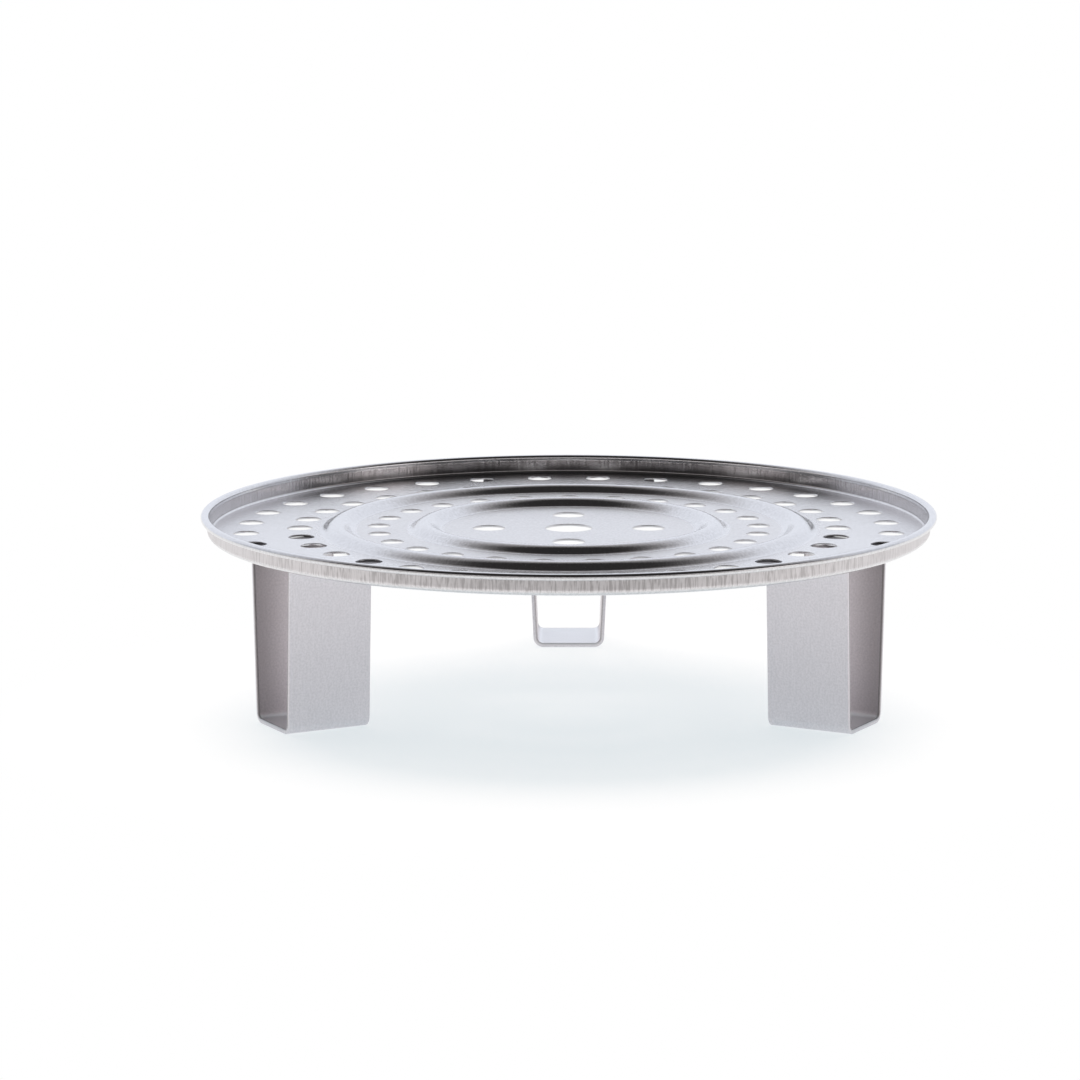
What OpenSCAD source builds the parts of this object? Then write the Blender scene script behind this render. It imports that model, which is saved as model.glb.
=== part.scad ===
/* [Overall] */
// Diameter of the tray over its rim
tray_d = 340; // [320:1:400]
// Height from the surface under the legs to the top of the rim
total_h = 87.8; // [60:0.2:160]

/* [Tray sheet] */
// Thickness of the tray's sheet
sheet_t = 1; // [0.7:0.1:1.5]
// Depth from the top of the rim down to the tray's floor
tray_depth = 8.8; // [6:0.2:16]
// Inside radius of the bend between the wall and the floor
wall_bend_r = 1.5; // [1:0.1:3]
// How far the rolled rim stands out from the wall
rim_overhang = 3; // [2:0.1:6]
// Height of the rolled rim
rim_t = 2.8; // [1.6:0.1:3.4]

/* [Raised ribs] */
// Diameter of the inner rib, along its crest
inner_rib_d = 133; // [125:1:135]
// Diameter of the outer rib, along its crest
outer_rib_d = 214; // [208:1:216]
// Width of each rib, from foot to foot
rib_w = 16.5; // [14:0.5:18]
// Height of each rib over the tray's floor
rib_h = 3.6; // [2:0.1:4]
// Radius of the hollow curve along each rib's foot
rib_foot_r = 4; // [3:0.5:5]
// How far the band between the ribs stands over the rest of the floor
band_rise = 0.1; // [0:0.1:1]

/* [Steam holes] */
// Diameter of the hole in the tray's centre
centre_hole_d = 21.7; // [10:0.1:30]
// Diameter of each hole round the centre
inner_hole_d = 15; // [8:0.5:18]
// Diameter of the circle that the holes round the centre lie on
inner_ring_d = 74; // [60:0.5:80]
// Number of holes round the centre
inner_hole_count = 4; // [2:1:8]
// Diameter of each hole in the band between the ribs
band_hole_d = 10.7; // [6:0.1:12]
// Diameter of the circle that the band's holes lie on
band_ring_d = 177; // [170:1:178]
// Number of holes in the band between the ribs
band_hole_count = 25; // [12:1:32]
// Diameter of each hole outside the outer rib
outer_hole_d = 12; // [6:0.5:14]
// Clear width of floor between the outer rib and the holes next to it
near_hole_gap = 3.5; // [2:0.5:8]
// Clear width of floor and bend between the outermost holes and the tray's wall
far_hole_gap = 10.8; // [8:0.1:15]
// Number of holes on each circle outside the outer rib
outer_hole_count = 32; // [16:1:36]

/* [Legs] */
// Thickness of the strap that each leg is bent from
strap_t = 2; // [1.5:0.1:3]
// Width of the strap, from the edge near the tray's centre to the outer edge
strap_w = 40; // [30:1:42]
// How far the outer edge of each leg lies in from the edge of the tray
leg_inset = 18.3; // [15:0.1:23]
// Width over a leg's arms, where they reach the tray
leg_top_w = 41.6; // [38:0.2:60]
// Width over a leg's arms, where they reach the surface below
leg_foot_w = 34.6; // [30:0.2:40]
// Inside radius of the two bends at a leg's foot
foot_bend_r = 3; // [2:0.5:6]
// Inside radius of the two bends under the tray
flange_bend_r = 2; // [1.5:0.5:4]
// How far each flange runs out past the arm, at the tray
flange_l = 22; // [16:0.5:24]
// Angle round the tray from the back leg to each front leg
leg_turn = 118.8; // [105:0.2:130]

/* [Spot welds] */
// Diameter of the fused spot in each weld
weld_d = 5; // [3:0.5:6]

/* [Hidden] */

// Share of the sheet's and of the strap's thickness that a weld reaches into
weld_depth_share = 0.6;
// Places of the two welds, as shares of the flat length of a flange
weld_place_shares = [0.26, 0.72];
// How far the cutting shapes run past what they cut
overrun = 2;

// Steps round a hole, round the tray and along each arc of a section
hole_steps = 48;
ring_steps = 180;
arc_steps = 8;

// Tray
tray_r = tray_d / 2;
floor_z = total_h - tray_depth;
band_z = floor_z + band_rise;
under_z = floor_z - sheet_t;
wall_in_r = tray_r - rim_overhang - sheet_t;
floor_end_r = wall_in_r - wall_bend_r;
rim_mid_z = total_h - rim_t / 2;

// Ribs: a crown arc that runs into a foot arc on each side
inner_rib_r = inner_rib_d / 2;
outer_rib_r = outer_rib_d / 2;
rib_half_w = rib_w / 2;
rib_arc_sum = (rib_half_w * rib_half_w + rib_h * rib_h) / (2 * rib_h);
crown_r = rib_arc_sum - rib_foot_r;
crown_z = floor_z + rib_h - crown_r;
band_side_h = rib_h - band_rise;
band_half_w = sqrt(2 * rib_arc_sum * band_side_h - band_side_h * band_side_h);

// Circles that the holes outside the outer rib lie on
near_ring_r = outer_rib_r + rib_half_w + near_hole_gap + outer_hole_d / 2;
far_ring_r = wall_in_r - far_hole_gap - outer_hole_d / 2;

// Legs
arm_lean = atan((leg_top_w - leg_foot_w) / (2 * under_z));
foot_r = foot_bend_r + strap_t;
foot_mid_x = leg_foot_w / 2 + foot_r * tan(arm_lean) - foot_r / cos(arm_lean);
flange_mid_z = under_z - strap_t - flange_bend_r;
flange_mid_x = leg_foot_w / 2 + flange_mid_z * tan(arm_lean) + flange_bend_r / cos(arm_lean);
flange_end_x = leg_top_w / 2 + flange_l;
flange_flat_l = flange_end_x - flange_mid_x;
leg_outer_r = tray_r - leg_inset;

// Spot welds: they lie between the two outer circles of holes
weld_mid_r = (near_ring_r + far_ring_r) / 2;

module ring_of_holes(hole_d, ring_r, count, first) {
    for (i = [0 : count - 1])
        rotate([0, 0, first + i * 360 / count])
            translate([ring_r, 0, under_z - overrun])
                cylinder(d = hole_d, h = sheet_t + rib_h + 2 * overrun, $fn = hole_steps);
}

module steam_holes() {
    back = 90;
    half_step = 180 / outer_hole_count;
    ring_of_holes(centre_hole_d, 0, 1, back);
    ring_of_holes(inner_hole_d, inner_ring_d / 2, inner_hole_count, back);
    ring_of_holes(band_hole_d, band_ring_d / 2, band_hole_count, back);
    ring_of_holes(outer_hole_d, near_ring_r, outer_hole_count, back);
    ring_of_holes(outer_hole_d, far_ring_r, outer_hole_count, back + half_step);
}

// Points along an arc, from one angle to another
function arc(mid, r, from_a, to_a) =
    [for (i = [0 : arc_steps]) let (a = from_a + (to_a - from_a) * i / arc_steps)
        mid + r * [cos(a), sin(a)]];

function reversed(points) = [for (i = [len(points) - 1 : -1 : 0]) points[i]];

function mirrored(points) = [for (p = points) [-p.x, p.y]];

// One rib's points, on the face that lies skin inside the tray's top face.
// near_half and near_z belong to the side towards the tray's centre, far_half and far_z to the other.
function rib_points(mid_r, near_half, near_z, far_half, far_z, skin) =
    let (near_slope = asin(near_half / rib_arc_sum), far_slope = asin(far_half / rib_arc_sum))
    concat(
        arc([mid_r - near_half, near_z + rib_foot_r], rib_foot_r + skin, -90, near_slope - 90),
        arc([mid_r, crown_z], crown_r - skin, 90 + near_slope, 90 - far_slope),
        arc([mid_r + far_half, far_z + rib_foot_r], rib_foot_r + skin, -90 - far_slope, -90)
    );

// The floor's face and the wall's bend, from the tray's centre outwards
function floor_points(skin) = concat(
    [[0, floor_z - skin]],
    rib_points(inner_rib_r, rib_half_w, floor_z, band_half_w, band_z, skin),
    rib_points(outer_rib_r, band_half_w, band_z, rib_half_w, floor_z, skin),
    arc([floor_end_r, floor_z + wall_bend_r], wall_bend_r + skin, -90, 0)
);

// The rolled rim, from the wall's inner face over the top to its outer face
rim_points = concat(
    arc([wall_in_r + rim_t / 2, rim_mid_z], rim_t / 2, 180, 90),
    arc([tray_r - rim_t / 2, rim_mid_z], rim_t / 2, 90, -90),
    [[wall_in_r + sheet_t, total_h - rim_t]]
);

module steam_tray() {
    color("gainsboro") difference() {
        rotate_extrude($fn = ring_steps)
            polygon(concat(floor_points(0), rim_points, reversed(floor_points(sheet_t))));
        steam_holes();
        all_welds();
    }
}

// One side of half a leg's section, from the foot up the leaning arm to the flange's end.
// It lies skin inside the face that is the foot's underside.
function strap_points(skin) = concat(
    arc([foot_mid_x, foot_r], foot_r - skin, -90, -arm_lean),
    arc([flange_mid_x, flange_mid_z], flange_bend_r + skin, 180 - arm_lean, 90),
    [[flange_end_x, under_z - strap_t + skin]]
);

leg_outline = concat(
    strap_points(0), reversed(strap_points(strap_t)),
    mirrored(strap_points(strap_t)), reversed(mirrored(strap_points(0)))
);

module leg(turn) {
    difference() {
        rotate([0, 0, turn]) translate([0, leg_outer_r, 0]) rotate([90, 0, 0])
            linear_extrude(height = strap_w) polygon(leg_outline);
        leg_welds(turn);
    }
}

module back_leg() {
    color("silver") leg(0);
}

module front_left_leg() {
    color("silver") leg(leg_turn);
}

module front_right_leg() {
    color("silver") leg(-leg_turn);
}

// The fused spots that join one leg's flanges to the tray
module leg_welds(turn) {
    weld_low_z = under_z - weld_depth_share * strap_t;
    weld_h = weld_depth_share * (strap_t + sheet_t);
    rotate([0, 0, turn])
        for (side = [-1, 1], share = weld_place_shares)
            translate([side * (flange_mid_x + share * flange_flat_l), weld_mid_r, weld_low_z])
                cylinder(d = weld_d, h = weld_h, $fn = hole_steps);
}

module all_welds() {
    for (turn = [0, leg_turn, -leg_turn]) leg_welds(turn);
}

module spot_welds() {
    color("dimgray") all_welds();
}

steam_tray();
back_leg();
front_left_leg();
front_right_leg();
spot_welds();
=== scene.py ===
"""Dresses the steamer insert: a pressed steel tray with steam holes, carried on three bent strap legs."""

import math

import bmesh
import bpy
import numpy as np
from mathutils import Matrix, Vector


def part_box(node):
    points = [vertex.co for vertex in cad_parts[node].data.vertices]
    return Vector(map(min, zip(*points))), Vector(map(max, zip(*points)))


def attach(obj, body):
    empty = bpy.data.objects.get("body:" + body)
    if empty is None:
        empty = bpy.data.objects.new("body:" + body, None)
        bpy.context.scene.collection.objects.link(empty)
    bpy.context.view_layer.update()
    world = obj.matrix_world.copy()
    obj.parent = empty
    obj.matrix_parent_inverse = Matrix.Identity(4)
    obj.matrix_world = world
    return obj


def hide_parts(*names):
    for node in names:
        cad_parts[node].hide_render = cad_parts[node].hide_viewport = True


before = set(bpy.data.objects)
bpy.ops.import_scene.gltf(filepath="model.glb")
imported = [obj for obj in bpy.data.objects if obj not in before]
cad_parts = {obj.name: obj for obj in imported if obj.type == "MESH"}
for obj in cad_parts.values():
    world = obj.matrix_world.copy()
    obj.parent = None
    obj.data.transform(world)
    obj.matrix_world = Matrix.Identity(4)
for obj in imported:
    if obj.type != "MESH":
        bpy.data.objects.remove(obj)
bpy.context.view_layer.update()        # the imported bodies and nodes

bl_info = {
    "name": "Steamer insert",
    "version": (1, 0, 0),
    "blender": (4, 5, 0),
    "location": "View3D > Sidebar > Steamer",
    "description": "Builds a stainless steaming tray on strap legs, with its steel finishes and its studio",
    "category": "Add Mesh",
}

BODY = "root"
WELD_DISTANCE = 1e-6
NEARLY_ZERO = 0.001                           # least divisor, so that nothing is divided by zero on the axis
BACK = math.radians(90)
TRAY_LOW, TRAY_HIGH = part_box("steam_tray")

PICTURE_WIDTH = 1080                          # of the photograph, in pixels
FOCAL_LENGTH = 3916.6                         # of the fitted camera, in the same pixels
SIDEWAYS_SHIFT = 28.8                         # of the fitted camera's axis, in the same pixels

WHITE, BLACK = (1.0, 1.0, 1.0), (0.0, 0.0, 0.0)
MATT_WHITE = (0.8, 0.8, 0.8, 1.0)
HORIZON_TINT = (0.94, 0.975, 1.06)
ROOM_TINT = (1.0, 0.95, 0.95)

# The horizon behind, by aside, the sine of a direction's angle to the side, and by its height
BEHIND_START = (0.12, 0.32)                   # how far back a direction points where the horizon starts
BEHIND_TILT = 0.3                             # how much its height adds to that
FALL_START = (0.0, 0.5, 0.44, 0.6)            # two values of aside, and the heights there where its light falls
FALL_END = (0.0, 0.6, 0.87, 0.92)             # the same where its light is gone
HORIZON_SIDES = (0.74, 0.88)                  # values of aside between which its light changes

# Patches of light: start, start of full light, end of full light, end
WIDE_PATCH = (0.76, 0.84, 0.95, 0.985)        # by aside
NARROW_PATCH = (0.08, 0.16, 0.25, 0.31)       # by aside
LIGHT_RING = (0.06, 0.14, 0.25, 0.42)         # by height
FRONT_START = (0.0, -0.1)                     # how far back a direction points where the patches' part starts
FRONT_TOP = (0.45, 0.3)                       # heights between which the patches fade in from above
LEFT_TO_RIGHT = (-0.1, 0.1)                   # how far right it points where the left's light gives way
# A ray that meets the surroundings at a depth below this is a first reflection, as Cycles adds one to it there.
FIRST_REFLECTION_DEPTH = 2.5


def length(name, text, value):
    """A size in metres, as a property that a user may change."""
    return bpy.props.FloatProperty(name=name, description=text, default=value, unit="LENGTH")


def share(name, text, value, highest=1.0):
    """A plain number without a unit, from 0 up."""
    return bpy.props.FloatProperty(name=name, description=text, default=value, min=0.0, max=highest)


def count(name, text, value):
    """A number of steps or of like features."""
    return bpy.props.IntProperty(name=name, description=text, default=value, min=1)


def colour(name, text, value):
    """A colour without alpha."""
    return bpy.props.FloatVectorProperty(
        name=name, description=text, default=value, subtype="COLOR", size=3, min=0.0, max=1.0
    )


class TraySizes(bpy.types.PropertyGroup):
    """Sizes of the pressed tray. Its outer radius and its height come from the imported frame."""

    sheet: length("Sheet", "Thickness of the sheet", 0.001)
    depth: length("Depth", "Depth from the rim's top to the floor", 0.0088)
    bend: length("Wall bend", "Inside radius between the floor and the wall", 0.0015)
    overhang: length("Rim overhang", "How far the rolled rim stands out from the wall", 0.003)
    rim: length("Rim", "Height of the rolled rim", 0.0028)
    inner_rib: length("Inner rib", "Radius of the inner rib's crest", 0.0665)
    outer_rib: length("Outer rib", "Radius of the outer rib's crest", 0.107)
    rib_width: length("Rib width", "Width of a rib from foot to foot", 0.0165)
    rib_height: length("Rib height", "Height of a rib over the floor", 0.0036)
    rib_foot: length("Rib foot", "Radius of the hollow curve at a rib's foot", 0.004)
    band_rise: length("Band rise", "Height of the band between the ribs over the floor", 0.0001)
    edge_roll: length("Edge roll", "Radius that the punch leaves round the top of a hole", 0.0003)
    burr: length("Underside edge", "Radius round the lower edge of a hole", 0.00012)
    support: length("Edge margin", "Width of the flat strip kept beside each rounded edge", 0.00035)


class HoleSizes(bpy.types.PropertyGroup):
    """Sizes and numbers of the punched steam holes."""

    centre: length("Centre hole", "Radius of the hole in the middle", 0.01085)
    inner: length("Inner holes", "Radius of the holes round the middle", 0.0075)
    inner_ring: length("Inner ring", "Radius of their ring", 0.037)
    inner_count: count("Inner count", "Number of holes round the middle", 4)
    band: length("Band holes", "Radius of the holes between the ribs", 0.00535)
    band_ring: length("Band ring", "Radius of their ring", 0.0885)
    band_count: count("Band count", "Number of holes between the ribs", 25)
    outer: length("Outer holes", "Radius of the holes outside the ribs", 0.006)
    near_ring: length("Near ring", "Radius of the ring next to the outer rib", 0.12475)
    far_ring: length("Far ring", "Radius of the outermost ring", 0.1492)
    outer_count: count("Outer count", "Number of holes on each ring outside the ribs", 32)


class LegSizes(bpy.types.PropertyGroup):
    """Sizes of the bent strap that each leg is made from."""

    strap: length("Strap", "Thickness of the strap", 0.002)
    top_width: length("Top width", "Width over the arms at the tray", 0.0416)
    foot_width: length("Foot width", "Width over the arms at the ground", 0.0346)
    foot_bend: length("Foot bend", "Inside radius of the bends at the foot", 0.003)
    flange_bend: length("Flange bend", "Inside radius of the bends at the tray", 0.002)
    flange: length("Flange", "Reach of each flange past the arm", 0.022)
    edge: length("Edge", "Radius that the strap's edges are dressed to", 0.00035)
    turn: bpy.props.FloatProperty(
        name="Leg turn", description="Angle from the back leg to each front leg",
        default=math.radians(118.8), unit="ROTATION",
    )


class SteelLook(bpy.types.PropertyGroup):
    """Colours and roughness of the stainless steel."""

    sheet_colour: colour("Sheet colour", "Colour of the tray's pressed sheet", (0.745, 0.74, 0.75))
    wall_colour: colour("Wall colour", "Colour of the drawn wall between its streaks", (0.725, 0.695, 0.7))
    streak_colour: colour("Streak colour", "Colour of the streaks on the drawn wall", (0.5, 0.475, 0.475))
    cut_colour: colour("Cut colour", "Colour of the punched walls of the holes", (0.72, 0.72, 0.74))
    strap_colour: colour("Strap colour", "Colour of the legs' strap", (0.76, 0.735, 0.765))
    inside_colour: colour("Inside colour", "Colour of the strap's inner face", (0.79, 0.745, 0.755))
    # The foot's inner face is given a much lighter colour than the arms': painted light
    lit_foot_colour: colour("Foot colour", "Colour of the inner face at the foot", (0.98, 0.985, 1.0))
    weld_colour: colour("Weld colour", "Colour of fused metal", (0.5, 0.49, 0.48))
    sheet_roughness: share("Sheet roughness", "Roughness of the pressed sheet on its slopes", 0.14)
    flat_roughness: share("Flat roughness", "Roughness that the flat floor has on top", 0.12)
    centre_roughness: share("Centre roughness", "Roughness that the flat inside the outer rib has on top", 0.08)
    wall_roughness: share("Wall roughness", "Roughness that the wall's inner side has on top", 0.05)
    outer_roughness: share("Outer roughness", "Roughness that the wall's outer side has on top of that", 0.14)
    strap_roughness: share("Strap roughness", "Mean roughness of the strap", 0.42)
    weld_roughness: share("Weld roughness", "Least roughness of fused metal", 0.45)
    matt: share("Matt share", "Share of the flat floor that is matt", 0.085)
    sheet_grain: length("Sheet grain", "Height of the sheet's speckle and streaks", 0.00006)
    sheet_waves: length("Sheet waves", "Height of the sheet's wide waves", 0.0004)
    strap_grain: length("Strap grain", "Height of the strap's grain", 0.00004)
    weld_grain: length("Weld grain", "Height of the ripples of fused metal", 0.0001)


class StageLook(bpy.types.PropertyGroup):
    """The studio: camera, floor, lamp and surroundings."""

    distance: length("Camera distance", "Distance in front of the tray's centre", 1.7905)
    height: length("Camera height", "Height over the floor", 0.384)
    pitch: bpy.props.FloatProperty(
        name="Camera pitch", description="Angle that the camera looks down by",
        default=math.radians(9.8457), unit="ROTATION",
    )
    view_angle: bpy.props.FloatProperty(
        name="View angle", description="Angle that the picture's width takes in",
        default=2 * math.atan(PICTURE_WIDTH / 2 / FOCAL_LENGTH), unit="ROTATION",
    )
    shift: bpy.props.FloatProperty(
        name="Shift", description="Sideways shift of the picture, as a share of its width",
        default=-SIDEWAYS_SHIFT / PICTURE_WIDTH,
    )
    floor_radius: length("Floor radius", "Radius of the floor", 12.0)
    fade_start: length("Fade start", "Distance from the shadow's middle where it starts to fade", 0.06)
    fade_end: length("Fade end", "Distance from the shadow's middle where the floor is plain white", 0.27)
    shadow_front: length("Shadow front", "Distance from the axis forward to the shadow's middle", 0.045)
    shadow_colour: colour("Shadow colour", "Colour of the floor in full shadow", (0.57, 0.65, 0.69))
    lamp_size: length("Lamp size", "Width of the soft lamp over and behind the object", 2.0)
    lamp_height: length("Lamp height", "Height of the soft lamp", 1.4)
    lamp_back: length("Lamp setback", "How far behind the object the soft lamp stands", 0.7)
    lamp_power: bpy.props.FloatProperty(
        name="Lamp power", description="Power of the soft lamp in watts", default=50.0, min=0.0
    )
    front_start: length("Floor front start", "Distance in front where reflected floor starts to darken", 0.3)
    front_end: length("Floor front end", "Distance in front where reflected floor is darkest", 1.1)
    front_floor: share("Front floor", "Light of the floor at its darkest, in reflections", 0.12)
    horizon_ahead: share("Horizon ahead", "Light of the horizon right behind the object", 0.97)
    horizon_aside: share("Horizon aside", "Light of the horizon towards the sides", 0.68)
    wide_left: share("Wide patch left", "Light of the wide patch at the left", 0.5)
    wide_right: share("Wide patch right", "Light of the wide patch at the right", 1.05, 2.0)
    narrow: share("Narrow patches", "Light of the two narrow patches in front", 0.42)
    front_light: share("Front light", "Light of the low part in front between the patches", 0.05)
    room_light: share("Room light", "Light of everything else", 0.03)
    ring_light: share("Ring light", "Light of the low ring that only first reflections see", 0.85)


GROUPS = {
    "steamer_tray": TraySizes,
    "steamer_holes": HoleSizes,
    "steamer_legs": LegSizes,
    "steamer_steel": SteelLook,
    "steamer_stage": StageLook,
}


def arc(mid, radius, start, end, steps):
    """Points of an arc: the middle plus the radius times cosine and sine of evenly spaced degrees."""
    angles = np.radians(np.linspace(start, end, steps + 1))
    return np.array(mid) + radius * np.stack([np.cos(angles), np.sin(angles)], axis=1)


def spin(profile, columns):
    """Carries radius and height pairs round the upright axis, from the back, as rows of a closed grid."""
    angles = BACK + 2 * np.pi * np.arange(columns) / columns
    radii, heights = profile[:, :1], profile[:, 1:]
    return np.stack(
        [radii * np.cos(angles), radii * np.sin(angles), np.broadcast_to(heights, (len(profile), columns))],
        axis=-1,
    )


class Patches:
    """Surface patches of one piece, gathered and then welded along the edges that they share."""

    def __init__(self):
        self.points, self.places, self.faces = [], [], []
        self.size = 0

    def add(self, points, faces, places=None):
        """Keeps points with faces that count from the first of them, and a place on the strip for each."""
        self.points.append(points)
        self.places.append(np.zeros_like(points) if places is None else places)
        self.faces += (faces + self.size).tolist()
        self.size += len(points)

    def grid(self, points, places=None):
        """Four-sided faces between neighbouring rows and columns, with the last column joined to the first."""
        rows, columns = points.shape[:2]
        index = np.arange(rows * columns).reshape(rows, columns)
        beside = np.roll(index, -1, axis=1)
        faces = np.stack([index[:-1], beside[:-1], beside[1:], index[1:]], axis=-1).reshape(-1, 4)
        self.add(points.reshape(-1, 3), faces, None if places is None else places.reshape(-1, 3))

    def bridge(self, inner, outer):
        """Joins two rings with unlike numbers of points: each step goes to where the next point comes first."""
        inner_count, outer_count = len(inner), len(outer)
        turns = np.concatenate([
            np.arange(1, inner_count + 1) / inner_count, np.arange(1, outer_count + 1) / outer_count
        ])
        on_outer = (np.arange(len(turns)) >= inner_count)[np.argsort(turns, kind="stable")]
        i = np.cumsum(~on_outer) - ~on_outer
        o = np.cumsum(on_outer) - on_outer
        third = np.where(on_outer, inner_count + (o + 1) % outer_count, (i + 1) % inner_count)
        faces = np.stack([i % inner_count, inner_count + o % outer_count, third], axis=-1)
        self.add(np.concatenate([inner, outer]), faces)

    def piece(self, name, crease=math.radians(50)):
        """One smooth mesh object, welded, with its faces turned outwards."""
        mesh = bpy.data.meshes.new(name)
        mesh.from_pydata(np.concatenate(self.points), [], self.faces)
        place = mesh.attributes.new("strap_place", "FLOAT_VECTOR", "POINT")
        place.data.foreach_set("vector", np.concatenate(self.places).astype(np.float32).ravel())
        work = bmesh.new()
        work.from_mesh(mesh)
        bmesh.ops.remove_doubles(work, verts=work.verts, dist=WELD_DISTANCE)
        bmesh.ops.recalc_face_normals(work, faces=work.faces)
        work.to_mesh(mesh)
        work.free()
        mesh.shade_smooth()
        mesh.set_sharp_from_angle(angle=crease)
        piece = bpy.data.objects.new(name, mesh)
        bpy.context.scene.collection.objects.link(piece)
        return piece


class TrayForm:
    """Radii, heights and section curves of the tray, worked out from its sizes."""

    RING = 320                                # columns of the spun sections
    BAND_CELL, OUTER_CELL, INNER_CELL = 12, 10, 24   # steps along each arc of a hole's cell
    SIDE_STEPS = 8                            # steps along each straight side of a hole's cell
    FOOT_STEPS, CROWN_STEPS = 5, 10           # steps along a rib's hollow arcs and its crown
    BEND_STEPS = 8                            # steps along the wall's bend
    RIM_IN_STEPS, RIM_OUT_STEPS = 6, 14       # steps along the rim's inner and outer round
    ROLL_STEPS, BURR_STEPS = 4, 2             # steps along the rounded edges of a hole
    CELL_SHARE = 0.4                          # how far the middle row of a cell still follows its edge

    def __init__(self, tray):
        self.tray = tray
        self.radius = min(TRAY_HIGH.x, TRAY_HIGH.y, -TRAY_LOW.x, -TRAY_LOW.y)
        self.top = TRAY_HIGH.z
        self.floor = self.top - tray.depth
        self.band = self.floor + tray.band_rise
        self.wall = self.radius - tray.overhang - tray.sheet
        half, rise, foot = tray.rib_width / 2, tray.rib_height, tray.rib_foot
        self.rib_half = half
        self.arc_sum = (half ** 2 + rise ** 2) / (2 * rise)
        self.crown = self.arc_sum - foot
        self.crown_z = self.floor + rise - self.crown
        band_side = rise - tray.band_rise
        self.band_half = math.sqrt(2 * self.arc_sum * band_side - band_side ** 2)

    def rib(self, mid, near_half, near_z, far_half, far_z, skin):
        """A rib's section: a hollow arc, a crown arc and a hollow arc that meet at equal slopes."""
        foot = self.tray.rib_foot
        near = math.degrees(math.asin(near_half / self.arc_sum))
        far = math.degrees(math.asin(far_half / self.arc_sum))
        return np.concatenate([
            arc((mid - near_half, near_z + foot), foot + skin, -90, near - 90, self.FOOT_STEPS),
            arc((mid, self.crown_z), self.crown - skin, 90 + near, 90 - far, self.CROWN_STEPS)[1:-1],
            arc((mid + far_half, far_z + foot), foot + skin, -90 - far, -90, self.FOOT_STEPS),
        ])

    def inner_rib(self, skin):
        """The inner rib rises from the floor and ends on the band."""
        return self.rib(self.tray.inner_rib, self.rib_half, self.floor, self.band_half, self.band, skin)

    def outer_rib(self, skin):
        """The outer rib rises from the band and ends on the floor."""
        return self.rib(self.tray.outer_rib, self.band_half, self.band, self.rib_half, self.floor, skin)

    def flat(self, section, inner, outer, margin):
        """A section with flat floor added on both sides, out to two radii, and a strip beside its ends."""
        first, last = section[0], section[-1]
        return np.concatenate([
            [[inner, first[1]], [first[0] - margin, first[1]]],
            section,
            [[last[0] + margin, last[1]], [outer, last[1]]],
        ])

    def wall_bend(self, skin):
        """The quarter arc between the floor and the wall."""
        tray = self.tray
        mid = (self.wall - tray.bend, self.floor + tray.bend)
        return arc(mid, tray.bend + skin, -90, 0, self.BEND_STEPS)

    def rim(self):
        """The rolled rim, from the wall's inner face over two half rounds to the wall's outer face."""
        half = self.tray.rim / 2
        mid_z = self.top - half
        return np.concatenate([
            arc((self.wall + half, mid_z), half, 180, 90, self.RIM_IN_STEPS),
            arc((self.radius - half, mid_z), half, 90, -90, self.RIM_OUT_STEPS),
            [[self.wall + self.tray.sheet, self.top - self.tray.rim]],
        ])

    def sleeve(self, rim, mid, hole, top):
        """Rows from a closed rim in on the top face, down a hole's wall and out again on the underside.

        A row is the rim's points and a circle's points, mixed. The circles follow the rounded edges, and their
        points lie half-way between the rim's own angles and evenly spaced ones."""
        tray = self.tray
        roll, burr, margin = tray.edge_roll, tray.burr, tray.support
        under = top - tray.sheet
        upper = arc((hole + roll, top - roll), roll, 90, 180, self.ROLL_STEPS)
        lower = arc((hole + burr, under + burr), burr, 180, 270, self.BURR_STEPS)
        near_top = [hole + roll + margin, top]
        near_under = [hole + burr + margin, under]
        rows = np.array([near_top, near_top, near_top, *upper, *lower, near_under, near_under, near_under])
        mix = np.zeros(len(rows))
        mix[[0, -1]], mix[[1, -2]] = 1.0, self.CELL_SHARE
        way = rim - mid
        even = np.linspace(0, 1, len(rim), endpoint=False)
        angles = np.unwrap(np.arctan2(way[:, 1], way[:, 0]))
        full = math.copysign(2 * math.pi, angles[-1] - angles[0])
        angles = (angles + angles[0] + full * even) / 2
        circle = np.stack([np.cos(angles), np.sin(angles)], axis=1)
        mix = mix[:, None, None]
        flat = mix * rim + (1 - mix) * (mid + rows[:, :1, None] * circle)
        heights = np.broadcast_to(rows[:, 1:, None], (len(rows), len(rim), 1))
        return np.concatenate([flat, heights], axis=-1)

    def cell(self, inner, outer, half_angle, arc_steps):
        """The closed edge of the floor between two radii and two angles, walked once round."""
        across = np.linspace(-half_angle, half_angle, arc_steps + 1)[:-1]
        along = np.linspace(inner, outer, self.SIDE_STEPS + 1)[:-1]
        radii = np.concatenate([np.full(arc_steps, inner), along, np.full(arc_steps, outer), along[::-1]])
        radii[-self.SIDE_STEPS:] = outer + inner - along
        angles = np.concatenate([
            across, np.full(self.SIDE_STEPS, half_angle), -across, np.full(self.SIDE_STEPS, -half_angle)
        ])
        return np.stack([radii * np.cos(angles), radii * np.sin(angles)], axis=1)

    def holes_round(self, patches, hole, ring, number, offset, inner, outer, arc_steps, top):
        """A ring of cells, each with its hole: one sleeve, turned to each hole's angle."""
        rim = self.cell(inner, outer, math.pi / number, arc_steps)
        sleeve = self.sleeve(rim, np.array([ring, 0.0]), hole, top)
        for turn in BACK + offset + 2 * np.pi * np.arange(number) / number:
            across = np.array([[math.cos(turn), math.sin(turn)], [-math.sin(turn), math.cos(turn)]])
            patches.grid(np.concatenate([sleeve[..., :2] @ across, sleeve[..., 2:]], axis=-1))


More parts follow.
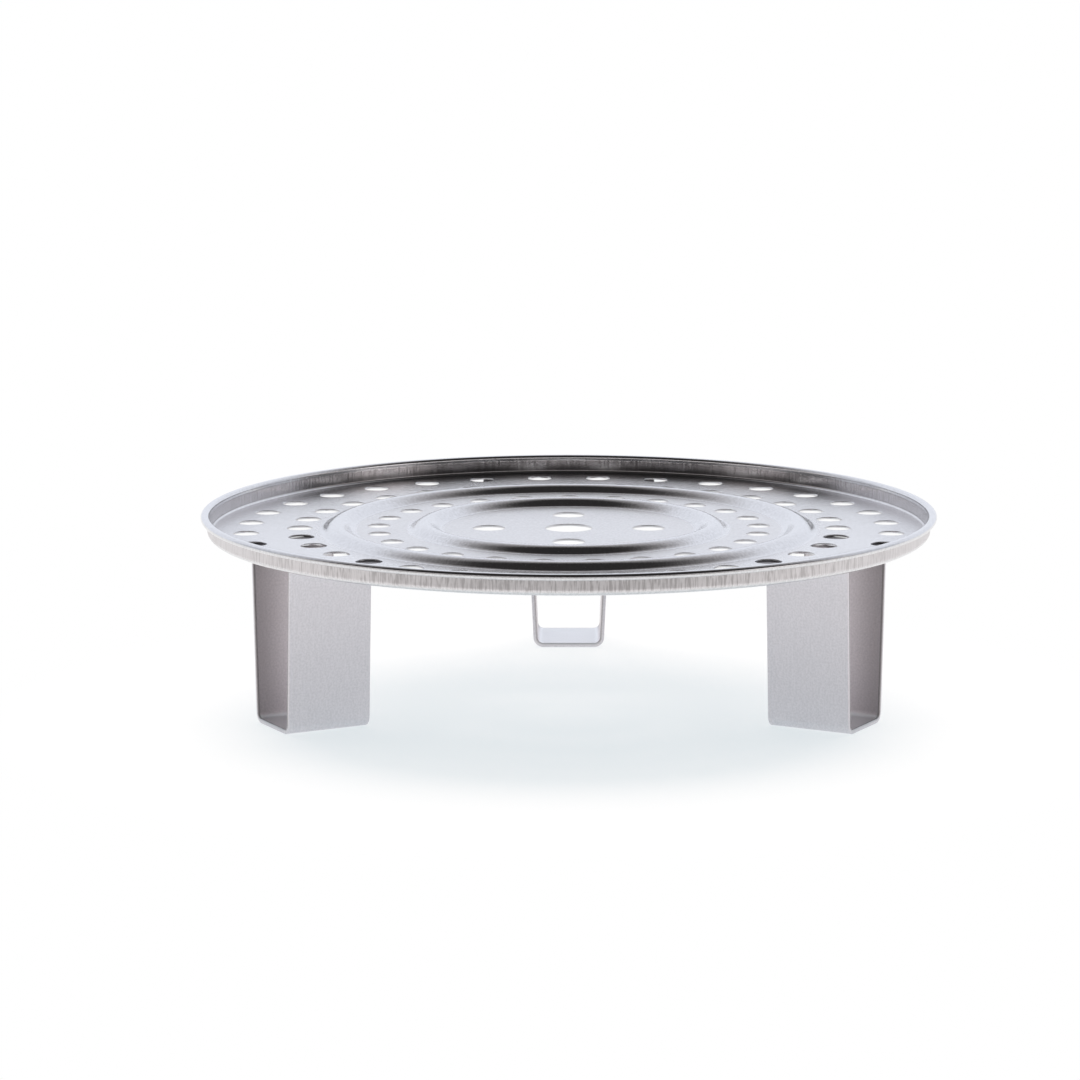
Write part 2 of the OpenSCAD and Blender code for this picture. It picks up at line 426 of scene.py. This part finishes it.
def build_tray(tray, holes):
    """The tray's closed surface: spun sections for ribs, wall and rim, and a cell round each hole."""
    form = TrayForm(tray)
    margin = tray.support
    edge = margin + tray.edge_roll
    centre_end = (holes.centre + holes.inner_ring - holes.inner) / 2 + edge
    inner_end = (holes.inner_ring + holes.inner + tray.inner_rib - form.rib_half) / 2
    inner_ring_columns = form.INNER_CELL * holes.inner_count
    band_columns = form.BAND_CELL * holes.band_count
    band_start = (tray.inner_rib + form.band_half + holes.band_ring - holes.band) / 2 + edge
    band_end = (tray.outer_rib - form.band_half + holes.band_ring + holes.band) / 2 - edge
    outer_start = (tray.outer_rib + form.rib_half + holes.near_ring - holes.outer) / 2
    outer_mid = (holes.near_ring + holes.far_ring) / 2
    outer_end = (holes.far_ring + holes.outer + form.wall - tray.bend) / 2
    strip = 0.001                             # width of the strips that join cells and spun sections
    patches = Patches()

    centre_rim = spin(np.array([[centre_end, form.floor]]), inner_ring_columns)[0, :, :2]
    patches.grid(form.sleeve(centre_rim, np.zeros(2), holes.centre, form.floor))
    form.holes_round(patches, holes.inner, holes.inner_ring, holes.inner_count, 0,
                     centre_end, inner_end, form.INNER_CELL, form.floor)
    form.holes_round(patches, holes.band, holes.band_ring, holes.band_count, 0,
                     band_start, band_end, form.BAND_CELL, form.band)
    form.holes_round(patches, holes.outer, holes.near_ring, holes.outer_count, 0,
                     outer_start, outer_mid, form.OUTER_CELL, form.floor)
    half_turn = math.pi / holes.outer_count
    form.holes_round(patches, holes.outer, holes.far_ring, holes.outer_count, half_turn,
                     outer_mid, outer_end, form.OUTER_CELL, form.floor)

    for skin in (0.0, tray.sheet):
        sections = (
            form.flat(form.inner_rib(skin), inner_end + strip, band_start - strip, margin),
            form.flat(form.outer_rib(skin), band_end + strip, outer_start, margin),
        )
        for section in sections:
            patches.grid(spin(section, form.RING))
        for radius, neighbour, columns in (
            (inner_end, inner_end + strip, inner_ring_columns),
            (band_start, band_start - strip, band_columns),
            (band_end, band_end + strip, band_columns),
        ):
            height = (form.floor if radius == inner_end else form.band) - skin
            own = spin(np.array([[radius, height]]), columns)[0]
            other = spin(np.array([[neighbour, height]]), form.RING)[0]
            patches.bridge(own, other)
    bend_start = form.wall - tray.bend
    outside = np.concatenate([
        [[outer_end, form.floor], [bend_start - margin, form.floor]],
        form.wall_bend(0.0),
        [[form.wall, form.floor + tray.bend + margin], [form.wall, form.top - tray.rim / 2 - margin]],
        form.rim(),
        [[form.wall + tray.sheet, form.floor + tray.bend + margin]],
        form.wall_bend(tray.sheet)[::-1],
        [[bend_start - margin, form.floor - tray.sheet], [outer_end, form.floor - tray.sheet]],
    ])
    patches.grid(spin(outside, form.RING))
    return patches.piece("tray")


class StrapForm:
    """The line that a leg's strap follows, and the strap's section."""

    END = 5                                   # points along the rounded end of a flange
    BEND_STEPS, CORNER_STEPS = 10, 4          # steps along each bend and along each rounded edge
    ARM_POINTS, SIDE_POINTS = 6, 3            # points along an arm and along each wide side of the section

    def __init__(self, legs):
        self.legs = legs
        low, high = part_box("back_leg")
        self.near, self.far = low.y, high.y
        self.width = high.y - low.y
        self.under = high.z
        lean = math.atan((legs.top_width - legs.foot_width) / (2 * self.under))
        self.lean = math.degrees(lean)
        self.foot_r = legs.foot_bend + legs.strap
        self.foot_x = legs.foot_width / 2 + self.foot_r * math.tan(lean) - self.foot_r / math.cos(lean)
        self.flange_z = self.under - legs.strap - legs.flange_bend
        arm_x = legs.foot_width / 2 + self.flange_z * math.tan(lean)
        self.flange_x = arm_x + legs.flange_bend / math.cos(lean)
        self.end_x = legs.top_width / 2 + legs.flange

    def line(self):
        """Middle line from one flange's end to the other's, its outward direction, how far the edge draws in,
        and the length along the line from its middle.

        One half is straight runs and two arcs, and the other half is its mirror image."""
        legs, half = self.legs, self.legs.strap / 2
        foot_arc, flange_arc = (-90, -self.lean, self.BEND_STEPS), (180 - self.lean, 90, self.BEND_STEPS)
        foot = arc((self.foot_x, self.foot_r), self.foot_r - half, *foot_arc)
        foot_way = arc((0, 0), 1, *foot_arc)
        flange = arc((self.flange_x, self.flange_z), legs.flange_bend + half, *flange_arc)
        flange_way = -arc((0, 0), 1, *flange_arc)
        turn = np.linspace(0, np.pi / 2, self.END)
        end_x = self.end_x - legs.edge * (1 - np.sin(turn))
        end = np.stack([end_x, np.full(self.END, self.under - half)], axis=1)
        middle = np.linspace(foot[-1], flange[0], self.ARM_POINTS + 2)[1:-1]
        points = np.concatenate([[[0, half]], foot, middle, flange, end])
        middle_way, end_way = np.broadcast_to(foot_way[-1], middle.shape), np.tile([0, -1], (self.END, 1))
        ways = np.concatenate([[[0, -1]], foot_way, middle_way, flange_way, end_way])
        inset = np.concatenate([np.zeros(len(points) - self.END), legs.edge * (1 - np.cos(turn))])
        steps = np.hypot(*np.diff(points, axis=0).T)
        along = np.concatenate([[0], np.cumsum(steps)])
        flip = np.array([-1, 1])
        return (
            np.concatenate([points[:0:-1] * flip, points]),
            np.concatenate([ways[:0:-1] * flip, ways]),
            np.concatenate([inset[:0:-1], inset]),
            np.concatenate([-along[:0:-1], along]),
        )

    def flange_start(self):
        """Place along the strip where the flange's flat begins: the last point before those of its end."""
        return float(self.line()[3][-self.END - 1])

    def section(self, inset):
        """The strap's outline: a long rectangle with rounded corners, as thickness and width offsets."""
        edge, steps, number = self.legs.edge, self.CORNER_STEPS, self.SIDE_POINTS
        a, b = self.legs.strap / 2 - edge - inset, self.width / 2 - edge - inset
        face, end = a + edge, b - edge
        run = np.linspace(-1, 1, number + 2)[1:-1] * end
        return np.concatenate([
            arc((a, b), edge, 90, 0, steps), [[face, end]],
            np.stack([np.full(number, face), -run], axis=1), [[face, -end]],
            arc((a, -b), edge, 0, -90, steps), arc((-a, -b), edge, -90, -180, steps), [[-face, -end]],
            np.stack([np.full(number, -face), run], axis=1), [[-face, end]],
            arc((-a, b), edge, 180, 90, steps),
        ])

    def surface(self):
        """Each station's section, set across the middle line: its thickness along the outward way, its width
        along the tray's radius. The places are the length along the strip, the width and the thickness."""
        points, ways, insets, along = self.line()
        sections = np.stack([self.section(inset) for inset in insets])
        thickness, across = sections[..., 0], sections[..., 1]
        grid = np.stack([
            points[:, :1] + ways[:, :1] * thickness,
            (self.near + self.far) / 2 + across,
            points[:, 1:] + ways[:, 1:] * thickness,
        ], axis=-1)
        places = np.stack([np.broadcast_to(along[:, None], across.shape), across, thickness], axis=-1)
        return grid, places


def build_leg(name, legs, turn):
    """One bent strap, turned about the tray's axis, with both ends closed."""
    grid, places = StrapForm(legs).surface()
    cosine, sine = math.cos(turn), math.sin(turn)
    grid = grid @ np.array([[cosine, sine, 0], [-sine, cosine, 0], [0, 0, 1]])
    patches = Patches()
    patches.grid(grid, places)
    for end in (0, -1):
        patches.add(grid[end], np.arange(len(grid[end]))[None], places[end])
    return patches.piece(name)


class Link:
    """A shader value. Sums, products and the like on it add Math nodes."""

    def __init__(self, shader, socket):
        self.shader, self.socket = shader, socket

    def math(self, operation, *others):
        return self.shader.node("ShaderNodeMath", {"operation": operation}, [self, *others])

    def __add__(self, other):
        return self.math("ADD", other)

    def __mul__(self, other):
        return self.math("MULTIPLY", other)

    def __sub__(self, other):
        return self.math("SUBTRACT", other)

    def __truediv__(self, other):
        return self.math("DIVIDE", other)

    def __rsub__(self, other):
        return self.shader.node("ShaderNodeMath", {"operation": "SUBTRACT"}, [other, self])

    __radd__ = __add__
    __rmul__ = __mul__


class Shader:
    """Builds one node tree."""

    def __init__(self, tree):
        self.tree = tree
        tree.nodes.clear()

    def plug(self, socket, value):
        """Links a Link to a socket, or sets a plain value on it."""
        if isinstance(value, Link):
            self.tree.links.new(value.socket, socket)
        else:
            socket.default_value = value

    def node(self, kind, settings=None, inputs=(), output=0):
        """Adds a node: its settings first, then its inputs by place or by name."""
        node = self.tree.nodes.new(kind)
        for key, value in (settings or {}).items():
            setattr(node, key, value)
        pairs = inputs.items() if isinstance(inputs, dict) else enumerate(inputs)
        for key, value in pairs:
            self.plug(node.inputs[key], value)
        return Link(self, node.outputs[output]) if node.outputs else None

    def split(self, vector):
        """The three parts of a vector."""
        node = self.tree.nodes.new("ShaderNodeSeparateXYZ")
        self.plug(node.inputs[0], vector)
        return [Link(self, part) for part in node.outputs]

    def join(self, x, y, z):
        """A vector from three values."""
        return self.node("ShaderNodeCombineXYZ", None, [x, y, z])

    def noise(self, place, scale, detail=2.0, rough=0.5):
        """Smooth noise from 0 to 1, with a mean of about a half. The scale is in waves to the metre."""
        inputs = {"Vector": place, "Scale": scale, "Detail": detail, "Roughness": rough}
        return self.node("ShaderNodeTexNoise", None, inputs)

    def ramp(self, value, low, high, start=0.0, end=1.0):
        """A smooth rise from start to end while value goes from low to high."""
        return self.node("ShaderNodeMapRange", {"interpolation_type": "SMOOTHSTEP"}, {
            "Value": value, "From Min": low, "From Max": high, "To Min": start, "To Max": end,
        })

    def blend(self, factor, first, second):
        """A colour between two colours."""
        node = self.tree.nodes.new("ShaderNodeMix")
        node.data_type = "RGBA"
        self.plug(node.inputs["Factor"], factor)
        colours = [s for s in node.inputs if s.type == "RGBA"]
        for socket, value in zip(colours, (first, second)):
            self.plug(socket, value if isinstance(value, Link) else (*value, 1.0))
        return Link(self, [s for s in node.outputs if s.type == "RGBA"][0])

    def band(self, value, low, full_low, full_high, high):
        """1 while value is between the two full ends, with a smooth fall to 0 at low and at high."""
        return self.ramp(value, low, full_low) * self.ramp(value, high, full_high)

    def scale(self, tint, factor):
        """A colour times a value."""
        return self.node("ShaderNodeVectorMath", {"operation": "SCALE"}, {"Vector": tint, "Scale": factor})

    def bump(self, height, strength, distance, base=None):
        """A normal that a height tips, on top of another normal where there is one."""
        inputs = {"Strength": strength, "Distance": distance, "Height": height}
        if base is not None:
            inputs["Normal"] = base
        return self.node("ShaderNodeBump", None, inputs)


def new_material(name):
    """An empty node material and its shader builder."""
    material = bpy.data.materials.new(name)
    material.use_nodes = True
    return material, Shader(material.node_tree)


def shades(tint, *factors):
    """A colour made darker or lighter by each factor."""
    return [[part * factor for part in tint] for factor in factors]


def finish_steel(shader, tint, roughness, normal, metal=1.0):
    """A steel surface from a colour, a roughness and a normal. Where metal is less than 1, it is part matt."""
    surface = shader.node("ShaderNodeBsdfPrincipled", None, {
        "Base Color": tint, "Metallic": metal, "Roughness": roughness, "Normal": normal,
    })
    shader.node("ShaderNodeOutputMaterial", None, {"Surface": surface})


class TrayZones:
    """Masks from 0 to 1 for the parts of the tray's surface, worked out from radius, height and side.

    aside is 0 straight in front of and behind the axis, and 1 straight to the left and right of it."""

    BLEND, THIN_BLEND = 0.0012, 0.0004        # widths over which one finish runs into the next
    SHARP_BLEND = 0.0001                      # the same, at the underside's edge of a hole
    CENTRE_BLEND = 0.005                      # how far past the outer rib the centre's finish fades
    CUT_START = 0.00008                       # depth in a hole at which its cut wall starts
    OUTSIDE_SHARES = (0.4, 0.8)               # shares of the sheet between which the wall's outside starts
    # The foot mask marks where shade is painted at the foot of the wall's inner side
    FOOT_HEIGHTS = (0.0055, 0.0018)           # heights over the floor between which the wall's foot darkens
    FOOT_SIDES = (0.95, 0.6)                  # values of aside between which it does so
    MATT_DISTANCES = (0.014, 0.024)           # distances from the wall between which the floor gets part matt
    ALONG = 0.1                               # length of the drawn marks' pattern per metre of drawing

    def __init__(self, shader, form):
        tray, floor = form.tray, form.floor
        blend, thin = self.BLEND, self.THIN_BLEND
        self.place = shader.node("ShaderNodeTexCoord", output="Object")
        x, y, z = shader.split(self.place)
        radius = (x * x + y * y).math("SQRT")
        reach = radius.math("MAXIMUM", NEARLY_ZERO)
        along = (radius + z) * self.ALONG
        self.drawn = shader.join(x / reach * form.radius, y / reach * form.radius, along)
        self.aside = x.math("ABSOLUTE") / reach

        upright = shader.ramp(radius, form.wall - blend, form.wall)
        rim_foot = form.top - tray.rim
        rolled = shader.ramp(z, rim_foot, rim_foot + thin)
        self.wall = upright * (1 - rolled) * shader.ramp(z, floor + thin / 2, floor + tray.bend)
        skin_in, skin_out = [form.wall + tray.sheet * part for part in self.OUTSIDE_SHARES]
        self.outside = shader.ramp(radius, skin_in, skin_out)
        foot_high, foot_low = [floor + height for height in self.FOOT_HEIGHTS]
        # where painted shade darkens the wall's foot, most at the sides
        self.foot = shader.ramp(self.aside, *self.FOOT_SIDES) * shader.ramp(z, foot_high, foot_low)

        ribs = 0.0
        for crest in (tray.inner_rib, tray.outer_rib):
            off = (radius - crest).math("ABSOLUTE")
            ribs = ribs + shader.ramp(off, form.rib_half + blend, form.rib_half - blend)
        self.flat = (1 - ribs) * (1 - upright)
        rib_end = tray.outer_rib + form.rib_half
        self.centre = shader.ramp(radius, rib_end + self.CENTRE_BLEND, tray.outer_rib)
        matt_start, matt_full = [form.wall - distance for distance in self.MATT_DISTANCES]
        self.open_floor = self.flat * shader.ramp(radius, matt_start, matt_full)

        underside = floor - tray.sheet
        below_edge = (1 - upright) * shader.ramp(z, floor - self.CUT_START, floor - tray.edge_roll)
        self.cut = below_edge * self.flat * shader.ramp(z, underside, underside + self.SHARP_BLEND)


NOISE_MEAN = 0.5
NOISE_RANGE = (0.3, 0.7)                      # noise between which a colour goes from dark to light
SHEET_SHADES = (0.9, 1.04)                    # dark and light shade of the flat, as shares of its colour
UNEVEN_ROUGHNESS = 0.06
FLAT_LIFT, CENTRE_LIFT = 0.04, 0.05           # how much lighter the flat floor is, and its centre on top
STREAK_START = (0.6, 0.32)                    # drawn noise between which the wall takes on the streaks' colour
# The streaks are drawn marks; their greater strength in front and behind than at the sides is painted shade
STREAK_SIDES = (0.95, 0.5, 0.5, 1.1)          # two values of aside, and how strong the streaks are there
# Painted shade on the wall's inner side: darker at the sides and at its foot
WALL_SIDES = (0.84, 0.97, 1.0, 0.8)           # two values of aside, and the light of the wall's inside there
FOOT_SHADE = 0.7                              # how much darker the wall's foot is


def sheet_steel(look, form):
    """Pressed sheet: fine speckle all over, and marks that the press drew along the radius on slopes and wall.

    The flat's colour runs between two shades with the speckle. The wall's colour runs from its own to that of
    the streaks with the drawn noise; the streaks are drawn marks, and their greater strength in front and
    behind than at the sides is painted shade. The wall's inner side is darker at its foot and at the sides,
    which is painted shade. The roughness is the sheet's, plus what each zone has on top, plus a little noise."""
    material, shader = new_material("sheet_steel")
    zone = TrayZones(shader, form)
    speckle = shader.noise(zone.place, 800.0, detail=3.0, rough=0.6)
    waves = shader.noise(zone.place, 35.0, detail=1.0)
    streaks = shader.noise(zone.drawn, 1300.0, rough=0.6)
    uneven = shader.noise(zone.drawn, 60.0) - NOISE_MEAN

    roughness = look.sheet_roughness + uneven * UNEVEN_ROUGHNESS
    roughness = roughness + zone.flat * (zone.centre * look.centre_roughness + look.flat_roughness)
    roughness = roughness + zone.wall * (zone.outside * look.outer_roughness + look.wall_roughness)

    plain = shader.blend(shader.ramp(speckle, *NOISE_RANGE), *shades(look.sheet_colour, *SHEET_SHADES))
    plain = shader.scale(plain, 1 + zone.flat * (zone.centre * CENTRE_LIFT + FLAT_LIFT))
    # drawn streaks, made stronger in front and behind as painted shade
    streaks_and_shade = shader.ramp(streaks + uneven * 0.2, *STREAK_START) * shader.ramp(zone.aside, *STREAK_SIDES)
    lined = shader.blend(streaks_and_shade, look.wall_colour, look.streak_colour)
    # painted shade on the wall's inner side, at the sides and at its foot
    inner_wall_shade = shader.ramp(zone.aside, *WALL_SIDES) * (1 - zone.foot * FOOT_SHADE)
    lined = shader.scale(lined, zone.outside + (1 - zone.outside) * inner_wall_shade)
    tint = shader.blend(zone.cut, shader.blend(zone.wall, plain, lined), look.cut_colour)

    marks = speckle * (0.55 + zone.flat * 0.45) + streaks * (zone.wall * 1.2 + (1 - zone.flat) * 0.3)
    fine = shader.bump(marks, 1.0, look.sheet_grain)
    normal = shader.bump(waves, 0.3, look.sheet_waves, fine)
    finish_steel(shader, tint, roughness, normal, 1 - zone.open_floor * look.matt)
    return material


STRAP_SHADES = (0.88, 1.04)                   # dark and light shade of the strap, as shares of its colour
# Painted light: the outer face gets lighter towards the tray
OUTER_RISE = (0.03, 0.09, 0.95, 1.07)         # distances along from the foot, and the outer face's light there
ARM_START = (0.4, 0.5)                        # shares of the foot's width between which an arm starts
# Painted shade on the arms' inner faces
ARM_LIGHT = (0.72, 1.1)                       # light of an arm's inner face at its outer edge and its middle
ARM_SPECKLE = (0.8, 0.4)                      # least light of that face's speckle, and what it can add
EDGE_BAND = (0.0011, 0.0006)                  # distances from the edge between which the inner face gets darker
# Painted shade on the flanges' inner faces, under the tray
FLANGE_BLEND = 0.001                          # length over which it gets darker at the flange
EDGE_LIGHT, FLANGE_LIGHT = 0.6, 0.35          # how light it is along the edge and on the flange


def strap_steel(look, legs, form):
    """Satin strap: fine grain drawn along the strip.

    The outer face runs between two shades with the grain, and gets lighter towards the tray, which is painted
    light. The inner face is brightest at the foot, which is painted light. On the arms it gets darker from the
    middle to the edge away from the tray's axis, which is painted shade. It is darker along both edges, and on
    the flanges it is darker with painted shade."""
    material, shader = new_material("strap_steel")
    place = shader.node("ShaderNodeAttribute", {"attribute_name": "strap_place"}, output="Vector")
    along, across, through = shader.split(place)
    off_middle = along.math("ABSOLUTE")
    drawn = shader.join(along * 0.15, across, through)
    speckle = shader.noise(place, 1000.0, rough=0.6)
    marks = shader.noise(drawn, 1300.0, rough=0.6) * 0.3 + speckle * 0.7
    cloud = shader.noise(place, 70.0)
    roughness = look.strap_roughness + (marks - NOISE_MEAN) * 0.2 + (cloud - NOISE_MEAN) * 0.05

    outer_face = shader.blend(shader.ramp(marks, *NOISE_RANGE), *shades(look.strap_colour, *STRAP_SHADES))
    # painted light, lighter towards the tray
    outer_face = shader.scale(outer_face, shader.ramp(off_middle, *OUTER_RISE))

    edge, flange = form.width / 2, form.flange_start()
    arm = shader.ramp(off_middle, *[legs.foot_width * part for part in ARM_START])
    least, more = ARM_SPECKLE
    # painted shade: an arm's inner face darker towards its edge away from the tray's axis
    shaded = shader.ramp(across, edge, 0.0, *ARM_LIGHT) * (least + speckle * more)
    level = 1 - arm + arm * shaded
    off_centre = across.math("ABSOLUTE")
    level = level * shader.ramp(off_centre, *[edge - inset for inset in EDGE_BAND], 1.0, EDGE_LIGHT)
    # painted shade on the flanges, under the tray
    level = level * shader.ramp(off_middle, flange, flange + FLANGE_BLEND, 1.0, FLANGE_LIGHT)
    # the foot's lighter colour is painted light
    inner_face = shader.scale(shader.blend(arm, look.lit_foot_colour, look.inside_colour), level)

    inner = shader.ramp(through, 0.0, -legs.strap / 4)
    tint = shader.blend(inner, outer_face, inner_face)
    finish_steel(shader, tint, roughness, shader.bump(marks, 0.3, look.strap_grain))
    return material


def weld_steel(look):
    """Fused metal inside the joint, dull and rippled. One noise gives its colour, roughness and ripples."""
    material, shader = new_material("weld_steel")
    place = shader.node("ShaderNodeTexCoord", output="Object")
    ripple = shader.noise(place, 900.0, detail=3.0, rough=0.6)
    tint = shader.blend(ripple, *shades(look.weld_colour, 0.8, 1.0))
    roughness = look.weld_roughness + ripple * 0.2
    finish_steel(shader, tint, roughness, shader.bump(ripple, 0.4, look.weld_grain))
    return material


def dress(piece, material, slot, *nodes):
    """Gives a piece its material, and ties it to the frame in place of CAD nodes."""
    piece.data.materials.append(material)
    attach(piece, BODY)
    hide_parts(*nodes)


class STEAMER_OT_tray(bpy.types.Operator):
    """Build the pressed tray with its ribs, its rolled rim and its steam holes"""

    bl_idname = "steamer.tray"
    bl_label = "Steam tray"

    def execute(self, context):
        scene = context.scene
        tray = build_tray(scene.steamer_tray, scene.steamer_holes)
        steel = sheet_steel(scene.steamer_steel, TrayForm(scene.steamer_tray))
        dress(tray, steel, "tray_steel", "steam_tray")
        return {"FINISHED"}


class STEAMER_OT_legs(bpy.types.Operator):
    """Build the three bent strap legs"""

    bl_idname = "steamer.legs"
    bl_label = "Strap legs"

    def execute(self, context):
        scene = context.scene
        legs = scene.steamer_legs
        steel = strap_steel(scene.steamer_steel, legs, StrapForm(legs))
        for node, turn in (("back_leg", 0.0), ("front_left_leg", legs.turn), ("front_right_leg", -legs.turn)):
            leg = build_leg(node.replace("leg", "strap"), legs, turn)
            dress(leg, steel, "leg_steel", node)
        return {"FINISHED"}


class STEAMER_OT_welds(bpy.types.Operator):
    """Give the spot welds between the flanges and the tray their fused steel"""

    bl_idname = "steamer.welds"
    bl_label = "Spot welds"

    def execute(self, context):
        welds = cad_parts["spot_welds"]
        welds.data.materials.clear()
        welds.data.materials.append(weld_steel(context.scene.steamer_steel))
        return {"FINISHED"}


def floor_white(look):
    """White ground with the object's soft shadow, partly painted into the floor's glow and partly cast by the
    lamp.

    Camera and mirror rays see a glow, from white far out to the shadow's colour at the shadow's middle, and
    matt ground that makes up the rest where the lamp reaches it. In reflections the glow darkens towards the
    front. Other rays see plain matt white."""
    material, shader = new_material("floor_white")
    x, y, _ = shader.split(shader.node("ShaderNodeTexCoord", output="Object"))
    ahead = y + look.shadow_front
    distance = (x * x + ahead * ahead).math("SQRT")
    plain = shader.ramp(distance, look.fade_start, look.fade_end)
    camera, glossy, clear = [
        shader.node("ShaderNodeLightPath", output=name)
        for name in ("Is Camera Ray", "Is Glossy Ray", "Is Transmission Ray")
    ]
    seen = camera.math("MAXIMUM", glossy).math("MAXIMUM", clear)
    # painted shadow: the glow takes the shadow's colour towards the shadow's middle
    glow = shader.blend(plain, look.shadow_colour, WHITE)
    lit = shader.blend(plain, [1 - part for part in look.shadow_colour], BLACK)
    front = shader.ramp(0.0 - y, look.front_start, look.front_end, 1.0, look.front_floor)
    shown = shader.node("ShaderNodeAddShader", None, [
        shader.node("ShaderNodeEmission", None, {"Color": glow, "Strength": camera.math("MAXIMUM", front)}),
        shader.node("ShaderNodeBsdfDiffuse", None, {"Color": lit}),
    ])
    matt = shader.node("ShaderNodeBsdfDiffuse", None, {"Color": MATT_WHITE})
    mixed = shader.node("ShaderNodeMixShader", None, [seen, matt, shown])
    shader.node("ShaderNodeOutputMaterial", None, {"Surface": mixed})
    return material


def build_floor(look, rings=23, columns=96):
    """A flat round floor. Its rings' radii grow with the cube of their number, so the inner ones lie closer."""
    radii = look.floor_radius * np.linspace(0, 1, rings + 1)[1:] ** 3
    grid = spin(np.stack([radii, np.zeros_like(radii)], axis=1), columns)
    patches = Patches()
    patches.grid(grid)
    patches.add(grid[0], np.arange(columns)[None])
    floor = patches.piece("studio_floor")
    floor.data.materials.append(floor_white(look))


def build_lamp(look):
    """One wide soft lamp over and behind the object, for the floor's shadow. The steel doesn't mirror it."""
    lamp = bpy.data.lights.new("soft_lamp", "AREA")
    lamp.shape = "DISK"
    lamp.size = look.lamp_size
    lamp.energy = look.lamp_power
    holder = bpy.data.objects.new("soft_lamp", lamp)
    holder.location = (0.0, look.lamp_back, look.lamp_height)
    holder.rotation_euler = (-math.atan2(look.lamp_back, look.lamp_height), 0.0, 0.0)
    holder.visible_glossy = False
    bpy.context.scene.collection.objects.link(holder)


def build_world(look):
    """Surroundings as a smooth formula of direction, with x to the right, y to the back and z up.

    The horizon behind is bright up to a height that grows towards the sides, and falls off above it. In front
    and low down, each side has a wide and a narrow upright patch of light. The rest of the room is almost dark,
    but for a low ring of light all round that only first reflections see: without it, the tray would be black
    from the sides and from behind."""
    world = bpy.data.worlds.new("studio")
    bpy.context.scene.world = world
    world.use_nodes = True
    shader = Shader(world.node_tree)
    x, y, z = shader.split(shader.node("ShaderNodeTexCoord", output="Generated"))
    outward = (x * x + y * y).math("SQRT").math("MAXIMUM", NEARLY_ZERO)
    aside = x.math("ABSOLUTE") / outward

    behind = shader.ramp(y / outward + z * BEHIND_TILT, *BEHIND_START)
    fall_start = shader.ramp(aside, *FALL_START)
    fall = (z - fall_start) / (shader.ramp(aside, *FALL_END) - fall_start)
    horizon = behind * (1 - fall.math("MAXIMUM", 0.0).math("MINIMUM", 1.0))
    horizon_light = shader.ramp(aside, *HORIZON_SIDES, look.horizon_ahead, look.horizon_aside)

    low_front = shader.ramp(y, *FRONT_START) * shader.ramp(z, *FRONT_TOP)
    wide = shader.band(aside, *WIDE_PATCH) * shader.ramp(x, *LEFT_TO_RIGHT, look.wide_left, look.wide_right)
    narrow = shader.band(aside, *NARROW_PATCH) * look.narrow
    patches = low_front * (look.front_light + wide + narrow)
    depth = shader.node("ShaderNodeLightPath", output="Ray Depth")
    ring = depth.math("LESS_THAN", FIRST_REFLECTION_DEPTH) * shader.band(z, *LIGHT_RING) * look.ring_light
    room = (patches + look.room_light).math("MAXIMUM", ring)

    level = horizon * horizon_light + (1 - horizon) * room
    shade = shader.scale(shader.blend(horizon, ROOM_TINT, HORIZON_TINT), level)
    camera = shader.node("ShaderNodeLightPath", output="Is Camera Ray")
    shown = shader.blend(camera, shade, WHITE)
    light = shader.node("ShaderNodeBackground", None, {"Color": shown, "Strength": 1.0})
    shader.node("ShaderNodeOutputWorld", None, {"Surface": light})


def build_camera(look):
    """A camera at the photograph's angle."""
    lens = bpy.data.cameras.new("camera")
    lens.angle = look.view_angle
    lens.shift_x = look.shift
    lens.clip_end = 2 * look.floor_radius
    holder = bpy.data.objects.new("camera", lens)
    holder.location = (0.0, -look.distance, look.height)
    holder.rotation_euler = (math.pi / 2 - look.pitch, 0.0, 0.0)
    bpy.context.scene.collection.objects.link(holder)
    bpy.context.scene.camera = holder


class STEAMER_OT_stage(bpy.types.Operator):
    """Set up the floor, the soft lamp, the surroundings and the camera"""

    bl_idname = "steamer.stage"
    bl_label = "Studio"

    def execute(self, context):
        look = context.scene.steamer_stage
        build_camera(look)
        build_floor(look)
        build_lamp(look)
        build_world(look)
        context.scene.view_settings.view_transform = "Standard"
        return {"FINISHED"}


OPERATORS = (STEAMER_OT_stage, STEAMER_OT_tray, STEAMER_OT_legs, STEAMER_OT_welds)


class STEAMER_PT_panel(bpy.types.Panel):
    """Lists the steamer insert's pieces and sizes"""

    bl_label = "Steamer insert"
    bl_space_type = "VIEW_3D"
    bl_region_type = "UI"
    bl_category = "Steamer"

    def draw(self, context):
        for operator in OPERATORS:
            self.layout.operator(operator.bl_idname)
        for name, group in GROUPS.items():
            box = self.layout.box()
            for key in group.__annotations__:
                box.prop(getattr(context.scene, name), key)


CLASSES = (*GROUPS.values(), *OPERATORS, STEAMER_PT_panel)


def register():
    for item in CLASSES:
        bpy.utils.register_class(item)
    for name, group in GROUPS.items():
        setattr(bpy.types.Scene, name, bpy.props.PointerProperty(type=group))


def unregister():
    for name in GROUPS:
        delattr(bpy.types.Scene, name)
    for item in reversed(CLASSES):
        bpy.utils.unregister_class(item)


def main():
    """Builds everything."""
    register()
    bpy.ops.steamer.stage()
    bpy.ops.steamer.tray()
    bpy.ops.steamer.legs()
    bpy.ops.steamer.welds()


if __name__ == "__main__":
    main()
